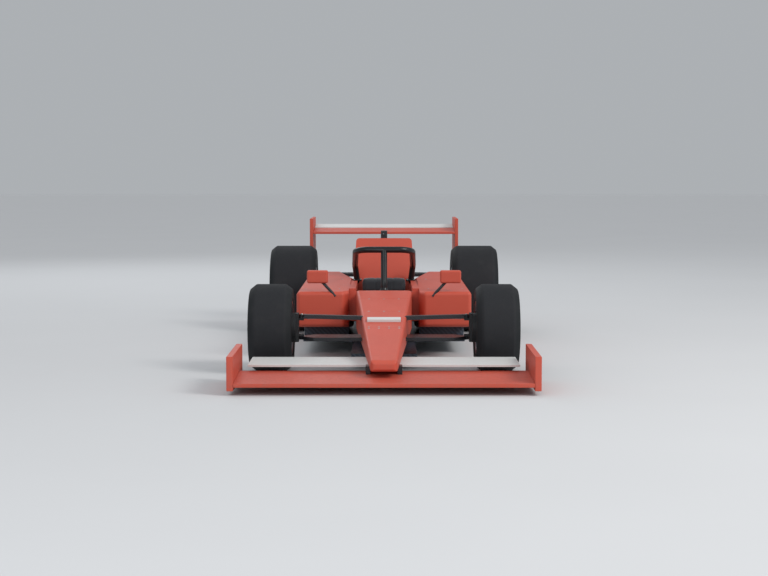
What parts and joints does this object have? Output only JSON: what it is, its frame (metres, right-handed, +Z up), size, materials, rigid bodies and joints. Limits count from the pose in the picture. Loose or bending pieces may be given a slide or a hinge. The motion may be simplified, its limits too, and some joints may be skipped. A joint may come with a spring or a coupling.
{
  "type": "open wheel racing car",
  "caption": "Single-seat racing car with exposed slick wheels, halo, front and rear wings, side pods and a steering linkage that turns the front wheels.",
  "frame": {"origin": "on the ground under the middle of the car's overall length and width", "axes": "nose towards -Y, +X is the car's left side, +Z up"},
  "size_m": [2, 5.13, 0.988],
  "materials": {
    "red_paint": "satin red paint on composite panels",
    "white_paint": "satin white paint",
    "black_composite": "satin black composite",
    "tyre_rubber": "matt slick rubber",
    "rim_metal": "satin alloy",
    "seat_cloth": "matt black cloth over foam",
    "mirror_silver": "silvered glass",
    "lamp_red": "moulded red lens",
    "cast_metal": "cast alloy",
    "plain_steel": "turned steel"
  },
  "bodies": {
    "chassis": {"nose_cone": "red_paint", "monocoque": "red_paint", "nose_panel": "white_paint", "front_wing_main_plane": "red_paint", "front_wing_endplates": "red_paint", "front_wing_flaps": "white_paint", "nose_pylons": "black_composite", "floor": "black_composite", "skid_plank": "black_composite", "tub_keel": "black_composite", "diffuser": "black_composite", "sidepod_left": "red_paint", "sidepod_right": "red_paint", "engine_block": "cast_metal", "engine_cover": "red_paint", "gearbox": "cast_metal", "rear_crash_structure": "black_composite", "rear_light": "lamp_red", "rear_tow_eye": "plain_steel", "camera_pod": "black_composite", "rear_wing_main_plane": "red_paint", "rear_wing_flap": "white_paint", "rear_wing_endplates": "red_paint", "rear_wing_pylon": "black_composite", "halo": "black_composite", "seat": "seat_cloth", "mirror_housings": "red_paint", "mirror_glass": "mirror_silver", "mirror_stalks": "black_composite", "front_suspension_arms": "black_composite", "rear_suspension_arms": "black_composite", "rear_uprights": "black_composite", "driveshafts": "plain_steel"},
    "steering": {"steering_wheel": "black_composite"},
    "rack": {"steering_rack": "plain_steel"},
    "knuckle_left": {"front_upright_left": "black_composite"},
    "knuckle_right": {"front_upright_right": "black_composite"},
    "front_left_wheel": {"front_left_tyre": "tyre_rubber", "front_left_rim": "rim_metal"},
    "front_right_wheel": {"front_right_tyre": "tyre_rubber", "front_right_rim": "rim_metal"},
    "rear_left_wheel": {"rear_left_tyre": "tyre_rubber", "rear_left_rim": "rim_metal"},
    "rear_right_wheel": {"rear_right_tyre": "tyre_rubber", "rear_right_rim": "rim_metal"}
  },
  "joints": [
    {"name": "steering_wheel_turn", "type": "hinge", "parent": "chassis", "child": "steering", "pos_m": [0, -0.215, 0.434], "axis": [0, 0.9966, 0.0822], "range_deg": [-180, 180]},
    {"name": "front_left_steer", "type": "hinge", "parent": "chassis", "child": "knuckle_left", "pos_m": [0.588, -1.27, 0.31], "axis": [0, 0, 1], "range_deg": [-20, 20]},
    {"name": "front_right_steer", "type": "hinge", "parent": "chassis", "child": "knuckle_right", "pos_m": [-0.588, -1.27, 0.31], "axis": [0, 0, 1], "range_deg": [-20, 20]},
    {"name": "rack_slide", "type": "slide", "parent": "chassis", "child": "rack", "axis": [1, 0, 0], "range_m": [-0.0404, 0.0404]},
    {"name": "front_left_spin", "type": "hinge", "parent": "knuckle_left", "child": "front_left_wheel", "pos_m": [0.8, -1.27, 0.31], "axis": [1, 0, 0], "continuous": true},
    {"name": "front_right_spin", "type": "hinge", "parent": "knuckle_right", "child": "front_right_wheel", "pos_m": [-0.8, -1.27, 0.31], "axis": [1, 0, 0], "continuous": true},
    {"name": "rear_left_spin", "type": "hinge", "parent": "chassis", "child": "rear_left_wheel", "pos_m": [0.8, 1.63, 0.378], "axis": [1, 0, 0], "continuous": true},
    {"name": "rear_right_spin", "type": "hinge", "parent": "chassis", "child": "rear_right_wheel", "pos_m": [-0.8, 1.63, 0.378], "axis": [1, 0, 0], "continuous": true}
  ],
  "couplings": [
    {"joint": "front_left_steer", "follows": "steering_wheel_turn", "ratio": 0.11111},
    {"joint": "front_right_steer", "follows": "steering_wheel_turn", "ratio": 0.11111},
    {"joint": "rack_slide", "follows": "steering_wheel_turn", "m_per_rad": -0.012844}
  ]
}
